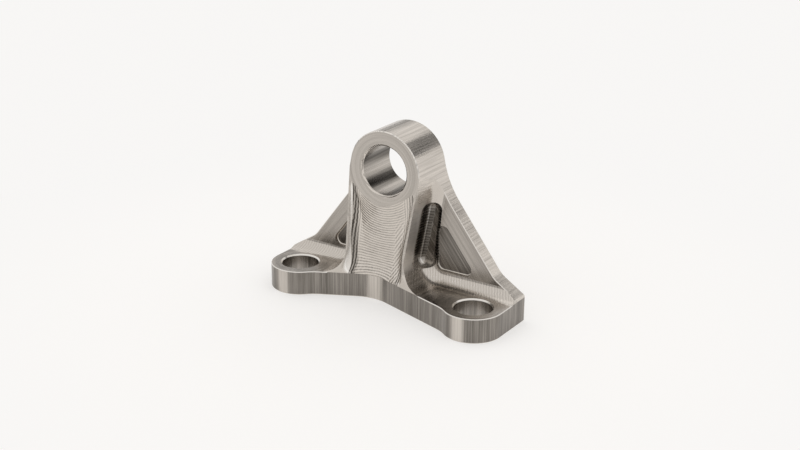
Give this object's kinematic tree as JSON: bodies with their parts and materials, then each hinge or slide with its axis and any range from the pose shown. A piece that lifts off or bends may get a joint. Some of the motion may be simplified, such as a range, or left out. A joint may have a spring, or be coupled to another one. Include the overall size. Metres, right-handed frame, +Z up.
{
  "type": "clevis pin bracket",
  "caption": "Machined bracket with a bored boss on a scooped central rib, a triangular back web with pockets, and a flat foot with bolt lugs.",
  "frame": {"origin": "middle of the underside of the overall box, on the seating plane of the foot", "axes": "+X along the line of the two bolt holes, +Y towards the flat back face and along the bore, +Z up from the seating face"},
  "size_m": [0.0956, 0.0283, 0.0653],
  "materials": {
    "body": "bare machined metal with fine cutter marks"
  },
  "bodies": {
    "root": {"bracket": "body"}
  },
  "joints": []
}
